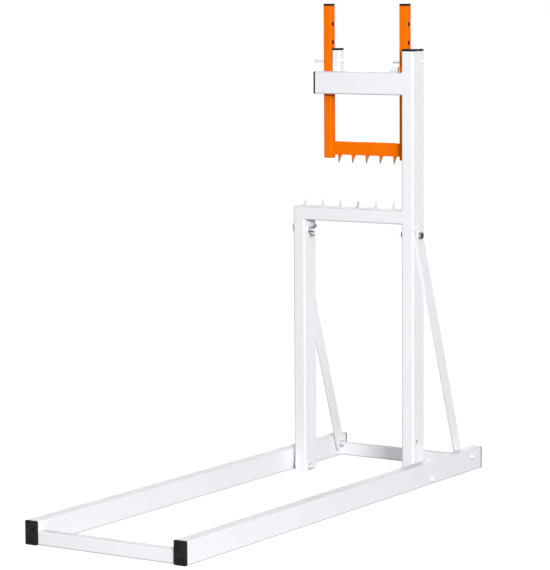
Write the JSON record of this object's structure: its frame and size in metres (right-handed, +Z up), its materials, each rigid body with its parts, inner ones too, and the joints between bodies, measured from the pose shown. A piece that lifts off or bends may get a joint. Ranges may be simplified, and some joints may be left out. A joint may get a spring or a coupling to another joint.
{
  "type": "log saw stand",
  "caption": "Folding log saw stand: long white tube base, strutted post frame with a toothed lower bar, and an orange toothed jaw that swings on pins to grip a log for sawing.",
  "frame": {"origin": "centre of the footprint on the floor", "axes": "+X to the side of the tall post, +Y along the base towards the posts and struts, +Z up"},
  "size_m": [0.4022, 1.197, 1.067],
  "materials": {
    "white_coat": "satin powder coat",
    "orange_coat": "satin powder coat",
    "zinc": "bright zinc plate",
    "dark_zinc": "dull grey zinc plate",
    "black_plastic": "moulded, fine grain"
  },
  "bodies": {
    "base": {"rail_left": "white_coat", "rail_right": "white_coat", "front_crossbar": "white_coat", "rear_crossbar": "white_coat", "rail_cap_front_left": "black_plastic", "rail_cap_front_right": "black_plastic", "rail_cap_rear_left": "black_plastic", "rail_cap_rear_right": "black_plastic", "foot_bolts": "zinc", "foot_spacers": "zinc", "foot_washers": "zinc", "foot_nuts": "zinc", "strut_pivot_bolts": "zinc", "strut_pivot_washers": "zinc", "strut_pivot_nuts": "zinc"},
    "post_frame": {"post_left": "white_coat", "post_right": "white_coat", "lower_bar": "white_coat", "lower_teeth": "white_coat", "top_crossbar": "white_coat", "guide_stub": "white_coat", "guide_lug": "zinc", "post_cap": "black_plastic", "stub_cap": "black_plastic", "crossbar_cap": "black_plastic", "wing_studs": "zinc", "wing_washers": "zinc"},
    "strut_left": {"strut_left": "white_coat", "strut_bolt_left": "dark_zinc", "strut_washer_left": "zinc"},
    "strut_right": {"strut_right": "white_coat", "strut_bolt_right": "dark_zinc", "strut_washer_right": "zinc"},
    "jaw": {"jaw_upright_left": "orange_coat", "jaw_upright_right": "orange_coat", "jaw_bar": "orange_coat", "jaw_teeth": "orange_coat", "jaw_cap_left": "black_plastic", "jaw_cap_right": "black_plastic"},
    "pin_left": {"pin_left": "zinc"},
    "pin_right": {"pin_right": "zinc"},
    "wing_nut_left": {"wing_nut_left": "zinc"},
    "wing_nut_right": {"wing_nut_right": "zinc"}
  },
  "joints": [
    {"name": "post_fold", "type": "hinge", "parent": "base", "child": "post_frame", "pos_m": [0, 0.3665, 0.0115], "axis": [1, 0, 0], "range_deg": [0, 81]},
    {"name": "strut_left_fold", "type": "hinge", "parent": "base", "child": "strut_left", "pos_m": [-0.1591, 0.5535, 0.0325], "axis": [1, 0, 0], "range_deg": [0, 67.5]},
    {"name": "strut_right_fold", "type": "hinge", "parent": "base", "child": "strut_right", "pos_m": [0.1591, 0.5535, 0.0325], "axis": [1, 0, 0], "range_deg": [0, 67.5]},
    {"name": "jaw_swing", "type": "hinge", "parent": "post_frame", "child": "jaw", "pos_m": [0.0149, 0.3905, 0.9395], "axis": [1, 0, 0], "range_deg": [0, 90]},
    {"name": "pin_left_pull", "type": "slide", "parent": "post_frame", "child": "pin_left", "axis": [-1, 0, 0], "range_m": [0, 0.08]},
    {"name": "pin_right_pull", "type": "slide", "parent": "post_frame", "child": "pin_right", "axis": [-1, 0, 0], "range_m": [0, 0.08]},
    {"name": "wing_nut_left_turn", "type": "hinge", "parent": "post_frame", "child": "wing_nut_left", "pos_m": [-0.12, 0.3715, 0.556], "axis": [1, 0, 0], "continuous": true},
    {"name": "wing_nut_right_turn", "type": "hinge", "parent": "post_frame", "child": "wing_nut_right", "pos_m": [0.12, 0.3715, 0.556], "axis": [1, 0, 0], "continuous": true}
  ],
  "couplings": [
    {"joint": "strut_left_fold", "follows": "post_fold", "ratio": 0.83},
    {"joint": "strut_right_fold", "follows": "post_fold", "ratio": 0.83}
  ]
}
